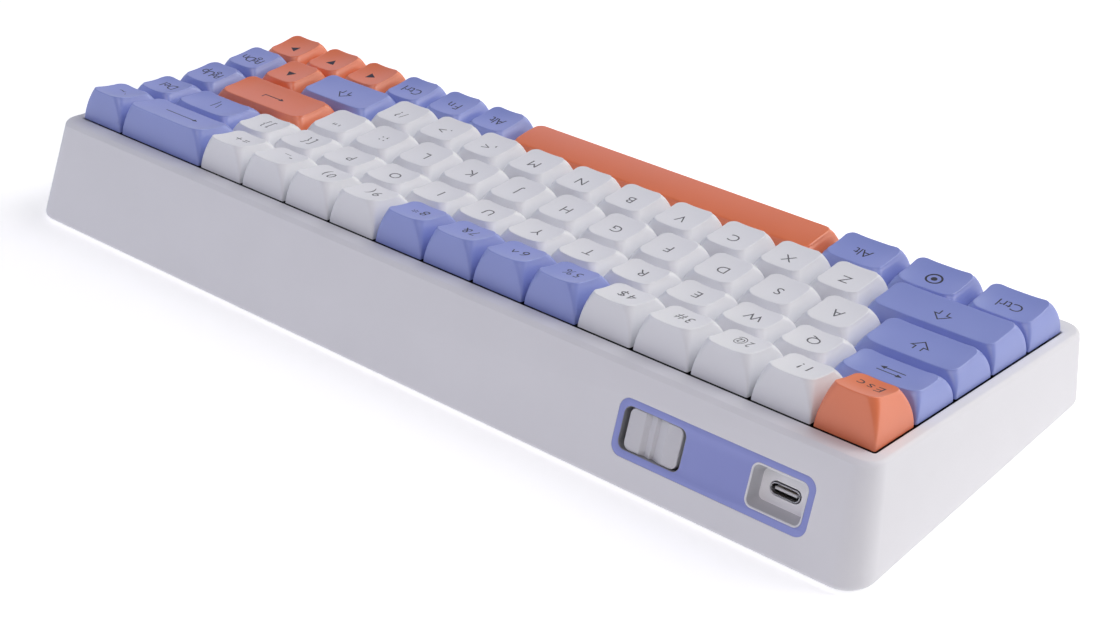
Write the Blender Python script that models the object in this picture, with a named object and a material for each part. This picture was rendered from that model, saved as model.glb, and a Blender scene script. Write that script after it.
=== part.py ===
"""Compact 68-key mechanical keyboard: wedge case, sculpted keycaps on plate-mounted switches,
a slide switch and a USB-C inlet in a coloured panel on the rear wall.

World frame: metres, +Z up, +X to the typist's right, +Y towards the rear wall, origin under
the middle of the case on the surface it stands on. Most pieces are drawn in the frame of the
bezel plane ("deck"), which rises towards the rear, and the inlet pieces in the frame of the
rear wall ("wall"). Both frames are empties, and every piece is parented to one of them.
"""

import math

import bmesh
import bpy
from mathutils import Matrix, Vector

MM = 0.001
SHARP_ANGLE = math.radians(35)  # edges over this angle stay sharp when shaded

# Key field
PITCH = 19.05 * MM
ROWS = 5
ROW_UNITS = 16
KEY_GAP = 0.9 * MM  # between two caps at their bases

# Case, drawn in the deck frame: its top plane is z = 0 and the key field's middle is x = y = 0
DECK_TILT = math.radians(5.65)
CASE_HALF_X = 156.3 * MM
CASE_BACK_Y = 54.3 * MM
CASE_FRONT_Y = -55.3 * MM
CASE_DEPTH = 31.3 * MM  # from the deck down to the bottom plane, at the rear edge
SIDE_FLARE = 4.5 / 31.3  # outward, for each unit down
BACK_FLARE = 8.0 / 31.3
CORNER_RADIUS = 6.5 * MM
CORNER_GROWTH = 2.0 / 31.3
CORNER_STEPS = 4
TOP_FILLET = 1.3 * MM
BOTTOM_FILLET = 1.6 * MM
WALL = 2.6 * MM
TOP_WALL = 3.0 * MM
FIT_GAP = 0.3 * MM
KEY_WINDOW_HALF_X = 152.6 * MM
KEY_WINDOW_HALF_Y = 47.85 * MM
COVER_THICKNESS = 2.6 * MM
POST_RADIUS = 3.0 * MM
POST_PLACES = [(x * MM, y * MM) for x in (-118, 8, 118) for y in (-34, 22)]

# Rubber strips under the bottom cover, in the world frame
PAD_HEIGHT = 1.0 * MM  # below the bottom plane
PAD_SEAT = 0.6 * MM  # sunk into the cover
PAD_HALF_X = 118.0 * MM
PAD_HALF_Y = 4.5 * MM
PAD_FROM_MIDDLE = 42.0 * MM

# Layers under the deck
PLATE_TOP = -6.0 * MM
PLATE_THICKNESS = 1.5 * MM
PLATE_HALF_X = 153.4 * MM
PLATE_FRONT_Y = -51.6 * MM
PLATE_BACK_Y = 51.9 * MM
PLATE_RADIUS = 4.5 * MM
SWITCH_HOLE_HALF = 7.1 * MM
HOUSING_HALF = 6.8 * MM
HOUSING_TOP_HALF = 5.0 * MM
HOUSING_TOP = 0.4 * MM
HOUSING_SHOULDER = -5.0 * MM
HOUSING_BOTTOM = -10.7 * MM
STEM_WELL_HALF = 3.1 * MM
STEM_WELL_BOTTOM = -7.6 * MM
LINK_HALF = 0.5 * MM
LINK_Z = -9.0 * MM
PCB_TOP = -11.0 * MM
PCB_THICKNESS = 1.6 * MM
PCB_HALF_X = 152.0 * MM
PCB_HALF_Y = 49.0 * MM
BATTERY_SIZE = Vector((92.0, 38.0, 6.0)) * MM
BATTERY_CENTRE = Vector((62.0, -6.0, -16.4)) * MM

# Keycaps, in each key's own frame: its base is z = 0
CAP_BASE_RADIUS = 0.5 * MM
CAP_TOP_RADIUS = 2.8 * MM
CAP_SIDE_INSET = 2.5 * MM
CAP_TOP_HALF_Y = 6.7 * MM
CAP_BULGE_LEVEL = 0.55  # of the height, where the side's curve is broken into two facets
CAP_BULGE_POWER = 1.8  # the inset grows with this power of the height
DISH_CURVE = 11.0  # height of the rim over the dish, for each square metre of distance squared
CROWN_CURVE = -9.0  # the space bar is crowned instead
CAP_WALL = 1.5 * MM
CAP_TOP_WALL = 2.2 * MM
CAP_LOWEST_CEILING = 4.9 * MM
STEM_HALF = 2.6 * MM
STEM_BOTTOM = -2.5 * MM
CAP_LINK_HALF = 1.0 * MM  # strips that hold the shared caps together, hidden inside their walls
CAP_LINK_Z = (0.2 * MM, 0.8 * MM)
# Height of the dish's middle, its tilt (positive: higher at the rear) and its shift to the rear
ROW_PROFILES = [
    (9.2 * MM, math.radians(6.5), 0.9 * MM),
    (6.6 * MM, math.radians(0.0), 0.7 * MM),
    (6.6 * MM, math.radians(-6.0), 0.6 * MM),
    (7.6 * MM, math.radians(-7.0), 0.6 * MM),
    (7.2 * MM, math.radians(-9.6), 0.3 * MM),
]
TALL_PROFILE = (11.3 * MM, math.radians(10.0), 0.9 * MM)
TALL_KEYS = ("esc",)

# Rear panel, in the wall frame: x as in the deck, y out of the wall, z up it from the deck
PANEL_X = (-142.9 * MM, -81.4 * MM)
PANEL_Z = (-24.4 * MM, -8.3 * MM)
PANEL_RADIUS = 3.3 * MM
PANEL_THICKNESS = 1.2 * MM
SLOT_X = (-103.4 * MM, -83.2 * MM)
SLOT_Z = (-22.3 * MM, -10.2 * MM)
INLET_X = (-141.1 * MM, -123.9 * MM)
INLET_Z = (-22.3 * MM, -10.1 * MM)
WINDOW_RADIUS = 2.3 * MM
INLET_DEPTH = 4.4 * MM
INLET_LIP = 0.5 * MM
INLET_SIDE_DRAFT = 0.7 * MM
INLET_END_DRAFT = 1.2 * MM
INLET_WALL = 1.3 * MM
PORT_SIZE = (8.94 * MM, 3.26 * MM)
PORT_LENGTH = 7.3 * MM
PORT_WALL = 0.3 * MM
PORT_STANDS_OUT = 0.4 * MM
KNOB_HALF_X = 8.6 * MM
KNOB_HALF_Z = 5.85 * MM
KNOB_RADIUS = 2.0 * MM
KNOB_CENTRE_X = -93.4 * MM
KNOB_FACE = -0.2 * MM
KNOB_BACK = -3.6 * MM
KNOB_NECK_END = -6.2 * MM
KNOB_NECK_HALF = 1.5 * MM
# Finger groove across the knob's face: distance from its middle and depth
KNOB_GROOVE = [(3.4, 0.0), (2.6, 1.0), (0.4, 0.45), (-0.3, 1.0), (-3.8, 0.0)]
BOARD_X = (-144.0 * MM, -82.0 * MM)
BOARD_Y = (-20.0 * MM, -6.6 * MM)
BOARD_THICKNESS = 1.2 * MM
SWITCH_BODY_HALF_X = 7.5 * MM
SWITCH_BODY_Y = (-12.0 * MM, -4.4 * MM)
SWITCH_BODY_HALF_Z = 3.6 * MM
SWITCH_SLOT_HALF = (3.6 * MM, 1.9 * MM)
SWITCH_SLOT_END = -7.2 * MM

# Colours (linear red, green, blue)
SHELL_WHITE = (0.78, 0.78, 0.82)
CAP_WHITE = (0.80, 0.81, 0.85)
CAP_BLUE = (0.26, 0.30, 0.68)
CAP_ORANGE = (0.76, 0.26, 0.15)
PANEL_BLUE = (0.21, 0.22, 0.52)
DARK_PLASTIC = (0.03, 0.03, 0.035)
RUBBER_GREY = (0.12, 0.12, 0.13)
BOARD_GREEN = (0.02, 0.06, 0.035)
STEEL = (0.55, 0.55, 0.57)
PLATE_BLACK = (0.02, 0.02, 0.022)
FOIL = (0.45, 0.46, 0.50)

# Every row from the rear to the front: (name, width in key units, colour), left to right
WHITE, BLUE, ORANGE = CAP_WHITE, CAP_BLUE, CAP_ORANGE
LAYOUT = [
    [("esc", 1, ORANGE)]
    + [(digit, 1, WHITE) for digit in "1234"]
    + [(digit, 1, BLUE) for digit in "5678"]
    + [(name, 1, WHITE) for name in ("9", "0", "minus", "equal")]
    + [("backspace", 2, BLUE), ("tilde", 1, BLUE)],
    [("tab", 1.5, BLUE)]
    + [(letter, 1, WHITE) for letter in "qwertyuiop"]
    + [("bracket_left", 1, WHITE), ("bracket_right", 1, WHITE)]
    + [("backslash", 1.5, BLUE), ("delete", 1, BLUE)],
    [("caps_lock", 1.75, BLUE)]
    + [(letter, 1, WHITE) for letter in "asdfghjkl"]
    + [("semicolon", 1, WHITE), ("quote", 1, WHITE)]
    + [("enter", 2.25, ORANGE), ("page_up", 1, BLUE)],
    [("shift_left", 2.25, BLUE)]
    + [(letter, 1, WHITE) for letter in "zxcvbnm"]
    + [("comma", 1, WHITE), ("period", 1, WHITE), ("slash", 1, WHITE)]
    + [("shift_right", 1.75, BLUE), ("up", 1, ORANGE), ("page_down", 1, BLUE)],
    [("ctrl_left", 1.25, BLUE), ("super", 1.25, BLUE), ("alt_left", 1.25, BLUE)]
    + [("space", 6.25, ORANGE)]
    + [("alt_right", 1, BLUE), ("fn", 1, BLUE), ("ctrl_right", 1, BLUE)]
    + [("left", 1, ORANGE), ("down", 1, ORANGE), ("right", 1, ORANGE)],
]
# The white caps of these rows share one node; every other cap is a node of its own
SHARED_ROWS = (2, 3)
SHARED_NODE = "keys_letters_front_rows"


# ---------------------------------------------------------------- scene helpers


def clear_scene():
    for obj in list(bpy.data.objects):
        bpy.data.objects.remove(obj, do_unlink=True)


def add_empty(name, parent=None, location=(0, 0, 0), tilt=0.0):
    empty = bpy.data.objects.new(name, None)
    bpy.context.scene.collection.objects.link(empty)
    empty.parent = parent
    empty.location = location
    empty.rotation_euler = (tilt, 0, 0)
    return empty


def add_object(name, bm, parent, location=(0, 0, 0)):
    """Turn a bmesh into an object with its faces pointing out."""
    bmesh.ops.recalc_face_normals(bm, faces=bm.faces)
    mesh = bpy.data.meshes.new(name)
    bm.to_mesh(mesh)
    bm.free()
    mesh.shade_smooth()
    mesh.set_sharp_from_angle(angle=SHARP_ANGLE)
    obj = bpy.data.objects.new(name, mesh)
    bpy.context.scene.collection.objects.link(obj)
    obj.parent = parent
    obj.location = location
    return obj


def combine(target, tool, operation="DIFFERENCE"):
    """Add a Boolean to target, and hide the tool that it uses."""
    tool.hide_render = True
    tool.display_type = "WIRE"
    modifier = target.modifiers.new(tool.name, "BOOLEAN")
    modifier.operation = operation
    modifier.object = tool


def paint(obj, colour, roughness=0.5, metallic=0.0):
    material = bpy.data.materials.new(obj.name)
    material.use_nodes = True
    shader = material.node_tree.nodes["Principled BSDF"]
    shader.inputs["Base Color"].default_value = (*colour, 1.0)
    shader.inputs["Roughness"].default_value = roughness
    shader.inputs["Metallic"].default_value = metallic
    material.diffuse_color = (*colour, 1.0)
    obj.data.materials.append(material)


# ---------------------------------------------------------------- mesh helpers


def rounded_outline(half_x, front_y, back_y, radius, steps=CORNER_STEPS):
    """Points of a rounded rectangle, anticlockwise from its right side's rear corner."""
    points = []
    corners = [
        (half_x - radius, back_y - radius, 0),
        (radius - half_x, back_y - radius, 90),
        (radius - half_x, front_y + radius, 180),
        (half_x - radius, front_y + radius, 270),
    ]
    for centre_x, centre_y, start in corners:
        for step in range(steps + 1):
            angle = math.radians(start + 90 * step / steps)
            points.append(
                (centre_x + radius * math.cos(angle), centre_y + radius * math.sin(angle))
            )
    return points


def add_ring(bm, points):
    return [bm.verts.new(point) for point in points]


def join_rings(bm, first, second):
    count = len(first)
    for i in range(count):
        j = (i + 1) % count
        bm.faces.new((first[i], first[j], second[j], second[i]))


def loft(bm, rings):
    """A closed solid through rings of the same number of points."""
    loops = [add_ring(bm, ring) for ring in rings]
    for first, second in zip(loops, loops[1:]):
        join_rings(bm, first, second)
    bm.faces.new(loops[0])
    bm.faces.new(loops[-1])


def box(bm, low, high):
    size = [h - l for l, h in zip(low, high)]
    centre = [(l + h) / 2 for l, h in zip(low, high)]
    placed = Matrix.Translation(centre) @ Matrix.Diagonal((*size, 1))
    bmesh.ops.create_cube(bm, size=1.0, matrix=placed)


def square(half_x, half_y, z, centre=(0, 0)):
    x, y = centre
    return [
        (x + half_x, y + half_y, z),
        (x - half_x, y + half_y, z),
        (x - half_x, y - half_y, z),
        (x + half_x, y - half_y, z),
    ]


def wall_outline(x_range, z_range, radius, inset=0.0, steps=CORNER_STEPS):
    """A rounded rectangle in the wall frame as (x, z) pairs."""
    middle_x = sum(x_range) / 2
    half_x = (x_range[1] - x_range[0]) / 2 - inset
    low, high = z_range[0] + inset, z_range[1] - inset
    outline = rounded_outline(half_x, low, high, max(radius - inset, 0.2 * MM), steps)
    return [(middle_x + x, z) for x, z in outline]


def at_depth(outline, y):
    return [(x, y, z) for x, z in outline]


# ---------------------------------------------------------------- case


def case_outline(inset, depth):
    """The case's outline at a depth below the deck, as (x, y) pairs."""
    return rounded_outline(
        CASE_HALF_X + SIDE_FLARE * depth - inset,
        CASE_FRONT_Y + inset,
        CASE_BACK_Y + BACK_FLARE * depth - inset,
        max(CORNER_RADIUS + CORNER_GROWTH * depth - inset, 0.5 * MM),
    )


def bottom_depth(y, height):
    """Depth under the deck, at y, of the plane that lies height above the bottom plane."""
    return CASE_DEPTH - (CASE_BACK_Y - y) * math.tan(DECK_TILT) - height / math.cos(DECK_TILT)


def flat_ring(inset, depth):
    return [(x, y, -depth) for x, y in case_outline(inset, depth)]


def bottom_ring(inset, height):
    """The case's outline in the plane that lies height above the bottom plane."""
    count = len(case_outline(inset, 0.0))
    ring = []
    for index in range(count):
        depth = CASE_DEPTH
        for _ in range(8):
            x, y = case_outline(inset, depth)[index]
            depth = bottom_depth(y, height)
        ring.append((x, y, -depth))
    return ring


def case_shell_rings():
    rings = []
    for angle in (0, 45, 90):
        sine, cosine = math.sin(math.radians(angle)), math.cos(math.radians(angle))
        rings.append(flat_ring(TOP_FILLET * (1 - sine), TOP_FILLET * (1 - cosine)))
    for angle in (90, 45, 0):
        sine, cosine = math.sin(math.radians(angle)), math.cos(math.radians(angle))
        rings.append(bottom_ring(BOTTOM_FILLET * (1 - sine), BOTTOM_FILLET * (1 - cosine)))
    return rings


def deck_origin():
    """Where the deck's origin lies in the world, so that the case is centred over y = 0."""
    height = PAD_HEIGHT + CASE_DEPTH * math.cos(DECK_TILT) - CASE_BACK_Y * math.sin(DECK_TILT)
    spread = [
        y * math.cos(DECK_TILT) - z * math.sin(DECK_TILT)
        for ring in case_shell_rings()
        for _, y, z in ring
    ]
    return (0.0, -(min(spread) + max(spread)) / 2, height)


def inlet_outline(inset):
    """The inlet's outline on the wall."""
    return wall_outline(INLET_X, INLET_Z, WINDOW_RADIUS, inset)


def inlet_floor_outline():
    x_range = (INLET_X[0] + INLET_SIDE_DRAFT, INLET_X[1] - INLET_SIDE_DRAFT)
    z_range = (INLET_Z[0] + INLET_END_DRAFT, INLET_Z[1] - INLET_END_DRAFT)
    return wall_outline(x_range, z_range, WINDOW_RADIUS, INLET_LIP)


def port_centre():
    return sum(INLET_X) / 2, sum(INLET_Z) / 2


def port_outline(inset):
    """The USB-C shape: two half rounds joined by straight sides."""
    middle_x, middle_z = port_centre()
    half_x, half_z = PORT_SIZE[0] / 2 - inset, PORT_SIZE[1] / 2 - inset
    outline = rounded_outline(half_x, -half_z, half_z, half_z - 0.02 * MM, 4)
    return [(middle_x + x, middle_z + z) for x, z in outline]


def add_wall_tool(name, wall, rings):
    bm = bmesh.new()
    loft(bm, rings)
    return add_object(name, bm, wall)


def add_panel_pocket(wall):
    """A ring-shaped cutter: the pocket for the panel, less the island that holds the inlet."""
    outer = wall_outline(PANEL_X, PANEL_Z, PANEL_RADIUS, -FIT_GAP)
    island = inlet_outline(FIT_GAP)
    depth = -PANEL_THICKNESS - FIT_GAP
    bm = bmesh.new()
    loops = [
        add_ring(bm, at_depth(outer, MM)),
        add_ring(bm, at_depth(outer, depth)),
        add_ring(bm, at_depth(island, depth)),
        add_ring(bm, at_depth(island, MM)),
    ]
    for first, second in zip(loops, loops[1:] + loops[:1]):
        join_rings(bm, first, second)
    return add_object("cut_panel_pocket", bm, wall)


def build_top_case(deck, wall):
    bm = bmesh.new()
    loft(bm, case_shell_rings())
    case = add_object("top_case", bm, deck)

    bm = bmesh.new()
    loft(bm, [flat_ring(WALL, TOP_WALL), bottom_ring(WALL, -5 * MM)])
    combine(case, add_object("cut_cavity", bm, deck))

    boss_outline = inlet_outline(-INLET_WALL)
    boss_end = -INLET_DEPTH - INLET_WALL
    boss = add_wall_tool(
        "add_inlet_boss", wall, [at_depth(boss_outline, -0.8 * MM), at_depth(boss_outline, boss_end)]
    )
    combine(case, boss, "UNION")

    window = rounded_outline(KEY_WINDOW_HALF_X, -KEY_WINDOW_HALF_Y, KEY_WINDOW_HALF_Y, 0.8 * MM, 2)
    bm = bmesh.new()
    loft(bm, [[(x, y, MM) for x, y in window], [(x, y, -TOP_WALL - MM) for x, y in window]])
    combine(case, add_object("cut_key_window", bm, deck))

    combine(case, add_panel_pocket(wall))

    slot = wall_outline(SLOT_X, SLOT_Z, WINDOW_RADIUS)
    slot_rings = [at_depth(slot, MM), at_depth(slot, -WALL - MM)]
    combine(case, add_wall_tool("cut_switch_slot", wall, slot_rings))

    mouth = inlet_outline(INLET_LIP)
    inlet_rings = [
        at_depth(mouth, MM),
        at_depth(mouth, 0.0),
        at_depth(inlet_floor_outline(), -INLET_DEPTH),
    ]
    combine(case, add_wall_tool("cut_inlet", wall, inlet_rings))

    port = port_outline(-FIT_GAP)
    port_rings = [at_depth(port, 1 * MM - INLET_DEPTH), at_depth(port, boss_end - MM)]
    combine(case, add_wall_tool("cut_port", wall, port_rings))
    paint(case, SHELL_WHITE, 0.45)


def build_bottom_cover(deck, pad_places):
    inset = WALL + FIT_GAP
    bm = bmesh.new()
    loft(bm, [bottom_ring(inset, 0.0), bottom_ring(inset, COVER_THICKNESS)])
    cover = add_object("bottom_cover", bm, deck)

    bm = bmesh.new()
    for x, y in POST_PLACES:
        top = PCB_TOP - PCB_THICKNESS - FIT_GAP
        base = -bottom_depth(y, COVER_THICKNESS / 2)
        rings = []
        for z in (base, top):
            corners = [math.radians(45 * step) for step in range(8)]
            rings.append(
                [(x + POST_RADIUS * math.cos(a), y + POST_RADIUS * math.sin(a), z) for a in corners]
            )
        loft(bm, rings)
    combine(cover, add_object("add_posts", bm, deck), "UNION")

    bm = bmesh.new()
    for low, high in pad_places:
        box(
            bm,
            (low[0] - FIT_GAP, low[1] - FIT_GAP, low[2] - MM),
            (high[0] + FIT_GAP, high[1] + FIT_GAP, high[2] + FIT_GAP),
        )
    combine(cover, add_object("cut_pad_seats", bm, None))
    paint(cover, SHELL_WHITE, 0.5)


def pad_boxes():
    boxes = []
    for middle_y in (-PAD_FROM_MIDDLE, PAD_FROM_MIDDLE):
        low = (-PAD_HALF_X, middle_y - PAD_HALF_Y, 0.0)
        high = (PAD_HALF_X, middle_y + PAD_HALF_Y, PAD_HEIGHT + PAD_SEAT)
        boxes.append((low, high))
    return boxes


def build_pads(pad_places):
    for name, (low, high) in zip(("front_pad", "rear_pad"), pad_places):
        bm = bmesh.new()
        box(bm, low, high)
        paint(add_object(name, bm, None), RUBBER_GREY, 0.8)


# ---------------------------------------------------------------- keys


def key_places():
    """(row, name, width, colour, x, y) of every key in the deck frame."""
    places = []
    for row, keys in enumerate(LAYOUT):
        left = -sum(width for _, width, _ in keys) / 2
        y = ((ROWS - 1) / 2 - row) * PITCH
        for name, width, colour in keys:
            places.append((row, name, width, colour, (left + width / 2) * PITCH, y))
            left += width
    return places


def cap_corners(half_x, half_y, radius):
    """Eight points, two at each corner, anticlockwise from the right side's rear corner."""
    return [
        (half_x, half_y - radius),
        (half_x - radius, half_y),
        (radius - half_x, half_y),
        (-half_x, half_y - radius),
        (-half_x, radius - half_y),
        (radius - half_x, -half_y),
        (half_x - radius, -half_y),
        (half_x, radius - half_y),
    ]


def cap_profile(row, name):
    return TALL_PROFILE if name in TALL_KEYS else ROW_PROFILES[row]


def cap_surface(profile, width, curve):
    """A function for the height of the cap's top surface at a point."""
    height, tilt, shift = profile
    flat_half = (width - 1) * PITCH / 2

    def surface(x, y):
        across = 0.0 if curve < 0 else max(abs(x) - flat_half, 0.0)
        along = y - shift
        return height + math.tan(tilt) * along + curve * (across**2 + along**2)

    return surface


def cap_ring(profile, width, level, surface):
    """The outer ring of the cap at a share of its height, from 0 at the base to 1 at the rim."""
    half_base = (PITCH - KEY_GAP) / 2
    half_x = half_base + (width - 1) * PITCH / 2 - CAP_SIDE_INSET * level**CAP_BULGE_POWER
    half_y = half_base - (half_base - CAP_TOP_HALF_Y) * level**CAP_BULGE_POWER
    radius = CAP_BASE_RADIUS + (CAP_TOP_RADIUS - CAP_BASE_RADIUS) * level
    shift = profile[2] * level
    outline = [(x, y + shift) for x, y in cap_corners(half_x, half_y, radius)]
    return [(x, y, level * surface(x, y)) for x, y in outline]


def add_cap(bm, profile, width, centre=(0.0, 0.0)):
    """A hollow cap with its stem, as one closed solid."""
    is_space = width > 3
    surface = cap_surface(profile, width, CROWN_CURVE if is_space else DISH_CURVE)
    moved = Vector((*centre, 0.0))

    def ring(points):
        return add_ring(bm, [Vector(point) + moved for point in points])

    levels = (0.0, CAP_BULGE_LEVEL, 1.0)
    outer = [ring(cap_ring(profile, width, level, surface)) for level in levels]
    for first, second in zip(outer, outer[1:]):
        join_rings(bm, first, second)

    rim = outer[-1]
    shift = profile[2]
    flat_half = (width - 1) * PITCH / 2
    low_points = [(flat_half, shift), (-flat_half, shift)] if width > 1 else [(0.0, shift)]
    middle = ring([(x, y, surface(x, y)) for x, y in low_points])
    right, left = middle[0], middle[-1]
    for pair in ((6, 7), (7, 0), (0, 1)):
        bm.faces.new((rim[pair[0]], rim[pair[1]], right))
    for pair in ((2, 3), (3, 4), (4, 5)):
        bm.faces.new((rim[pair[0]], rim[pair[1]], left))
    for first, second, near, far in ((1, 2, right, left), (5, 6, left, right)):
        if near is far:
            bm.faces.new((rim[first], rim[second], near))
        else:
            bm.faces.new((rim[first], rim[second], far, near))

    ceiling = max(profile[0] - CAP_TOP_WALL, CAP_LOWEST_CEILING)
    half_base = (PITCH - KEY_GAP) / 2 - CAP_WALL
    half_top = CAP_TOP_HALF_Y - CAP_WALL
    inner = [
        ring(square(half_base + flat_half, half_base, 0.0)),
        ring(square(half_top + flat_half, half_top, ceiling)),
        ring(square(STEM_HALF, STEM_HALF, ceiling)),
        ring(square(STEM_HALF, STEM_HALF, STEM_BOTTOM)),
    ]
    for first, second in zip(inner, inner[1:]):
        join_rings(bm, first, second)
    bm.faces.new(inner[-1])

    base = outer[0]
    for corner in range(4):
        following = (corner + 1) % 4
        bm.faces.new((base[2 * corner], base[2 * corner + 1], inner[0][corner]))
        bm.faces.new(
            (base[2 * corner + 1], base[2 * following], inner[0][following], inner[0][corner])
        )


def build_keys(deck):
    shared = bmesh.new()
    links = bmesh.new()
    shared_places = {row: [] for row in SHARED_ROWS}
    for row, name, width, colour, x, y in key_places():
        if row in SHARED_ROWS and colour == WHITE:
            add_cap(shared, cap_profile(row, name), width, (x, y))
            shared_places[row].append((x, y))
            continue
        bm = bmesh.new()
        add_cap(bm, cap_profile(row, name), width)
        paint(add_object(f"key_{name}", bm, deck, (x, y, 0.0)), colour, 0.5)

    low_z, high_z = CAP_LINK_Z
    for places in shared_places.values():
        for (x, y), (next_x, _) in zip(places, places[1:]):
            middle = (x + next_x) / 2
            box(
                links,
                (middle - KEY_GAP, y - CAP_LINK_HALF, low_z),
                (middle + KEY_GAP, y + CAP_LINK_HALF, high_z),
            )
    x, y = shared_places[SHARED_ROWS[-1]][0]
    boundary_y = y + PITCH / 2
    box(
        links,
        (x - CAP_LINK_HALF, boundary_y - KEY_GAP, low_z),
        (x + CAP_LINK_HALF, boundary_y + KEY_GAP, high_z),
    )
    group = add_object(SHARED_NODE, shared, deck)
    combine(group, add_object("add_cap_links", links, deck), "UNION")
    paint(group, CAP_WHITE, 0.5)


# ---------------------------------------------------------------- inside


def build_switches(deck):
    places = key_places()
    bm = bmesh.new()
    for _, _, _, _, x, y in places:
        rings = [
            square(HOUSING_HALF, HOUSING_HALF, HOUSING_BOTTOM, (x, y)),
            square(HOUSING_HALF, HOUSING_HALF, HOUSING_SHOULDER, (x, y)),
            square(HOUSING_TOP_HALF, HOUSING_TOP_HALF, HOUSING_TOP, (x, y)),
            square(STEM_WELL_HALF, STEM_WELL_HALF, HOUSING_TOP, (x, y)),
            square(STEM_WELL_HALF, STEM_WELL_HALF, STEM_WELL_BOTTOM, (x, y)),
        ]
        loft(bm, rings)
    housings = add_object("switch_housings", bm, deck)

    bm = bmesh.new()
    half_x, half_y = (ROW_UNITS - 1) / 2 * PITCH, (ROWS - 1) / 2 * PITCH
    for row in range(ROWS):
        y = ((ROWS - 1) / 2 - row) * PITCH
        low = (-half_x, y - LINK_HALF, LINK_Z - LINK_HALF)
        high = (half_x, y + LINK_HALF, LINK_Z + LINK_HALF)
        box(bm, low, high)
    rows = add_object("add_row_links", bm, deck)
    combine(housings, rows, "UNION")

    bm = bmesh.new()
    shifted = LINK_HALF / 2
    low = (half_x - 2 * PITCH - LINK_HALF, -half_y, LINK_Z - LINK_HALF + shifted)
    high = (half_x - 2 * PITCH + LINK_HALF, half_y, LINK_Z + LINK_HALF + shifted)
    box(bm, low, high)
    combine(housings, add_object("add_cross_link", bm, deck), "UNION")
    paint(housings, DARK_PLASTIC, 0.45)


def build_plate(deck):
    outline = rounded_outline(PLATE_HALF_X, PLATE_FRONT_Y, PLATE_BACK_Y, PLATE_RADIUS, 2)
    bm = bmesh.new()
    loft(bm, [[(x, y, z) for x, y in outline] for z in (PLATE_TOP - PLATE_THICKNESS, PLATE_TOP)])
    plate = add_object("switch_plate", bm, deck)

    bm = bmesh.new()
    for _, _, _, _, x, y in key_places():
        half = SWITCH_HOLE_HALF
        box(bm, (x - half, y - half, 2 * PLATE_TOP), (x + half, y + half, 0.0))
    combine(plate, add_object("cut_switch_holes", bm, deck))
    paint(plate, PLATE_BLACK, 0.45, 0.3)


def build_electronics(deck):
    bm = bmesh.new()
    low = (-PCB_HALF_X, -PCB_HALF_Y, PCB_TOP - PCB_THICKNESS)
    box(bm, low, (PCB_HALF_X, PCB_HALF_Y, PCB_TOP))
    paint(add_object("pcb", bm, deck), BOARD_GREEN, 0.5)

    bm = bmesh.new()
    outline = rounded_outline(BATTERY_SIZE.x / 2, -BATTERY_SIZE.y / 2, BATTERY_SIZE.y / 2, 2 * MM, 2)
    half_z = BATTERY_SIZE.z / 2
    loft(bm, [[(x, y, z) for x, y in outline] for z in (-half_z, half_z)])
    paint(add_object("battery", bm, deck, BATTERY_CENTRE), FOIL, 0.35, 0.8)


# ---------------------------------------------------------------- rear panel


def build_accent_panel(wall):
    panel_rings = [
        at_depth(wall_outline(PANEL_X, PANEL_Z, PANEL_RADIUS), y) for y in (0.0, -PANEL_THICKNESS)
    ]
    panel = add_wall_tool("accent_panel", wall, panel_rings)
    openings = {
        "cut_panel_slot": wall_outline(SLOT_X, SLOT_Z, WINDOW_RADIUS),
        "cut_panel_inlet": inlet_outline(0.0),
    }
    for name, outline in openings.items():
        rings = [at_depth(outline, MM), at_depth(outline, -PANEL_THICKNESS - MM)]
        combine(panel, add_wall_tool(name, wall, rings))
    paint(panel, PANEL_BLUE, 0.5)


def build_mode_switch_knob(wall):
    middle_z = sum(SLOT_Z) / 2
    face = [(KNOB_HALF_X, KNOB_BACK), (KNOB_HALF_X, KNOB_FACE)]
    face += [(x * MM, KNOB_FACE - depth * MM) for x, depth in KNOB_GROOVE]
    face += [(-KNOB_HALF_X, KNOB_FACE), (-KNOB_HALF_X, KNOB_BACK)]
    bm = bmesh.new()
    overlong = KNOB_HALF_Z + MM
    loft(bm, [[(x, y, z) for x, y in face] for z in (-overlong, overlong)])
    knob = add_object("mode_switch_knob", bm, wall, (KNOB_CENTRE_X, 0.0, middle_z))
    x_range = (KNOB_CENTRE_X - KNOB_HALF_X, KNOB_CENTRE_X + KNOB_HALF_X)
    z_range = (middle_z - KNOB_HALF_Z, middle_z + KNOB_HALF_Z)
    outline = wall_outline(x_range, z_range, KNOB_RADIUS)
    rings = [at_depth(outline, MM), at_depth(outline, KNOB_BACK - MM)]
    combine(knob, add_wall_tool("trim_knob_corners", wall, rings), "INTERSECT")

    bm = bmesh.new()
    half = KNOB_NECK_HALF
    box(bm, (-half, KNOB_NECK_END, -half), (half, KNOB_BACK + MM, half))
    neck = add_object("add_knob_neck", bm, wall, (KNOB_CENTRE_X, 0.0, middle_z))
    combine(knob, neck, "UNION")
    paint(knob, SHELL_WHITE, 0.45)


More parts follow.
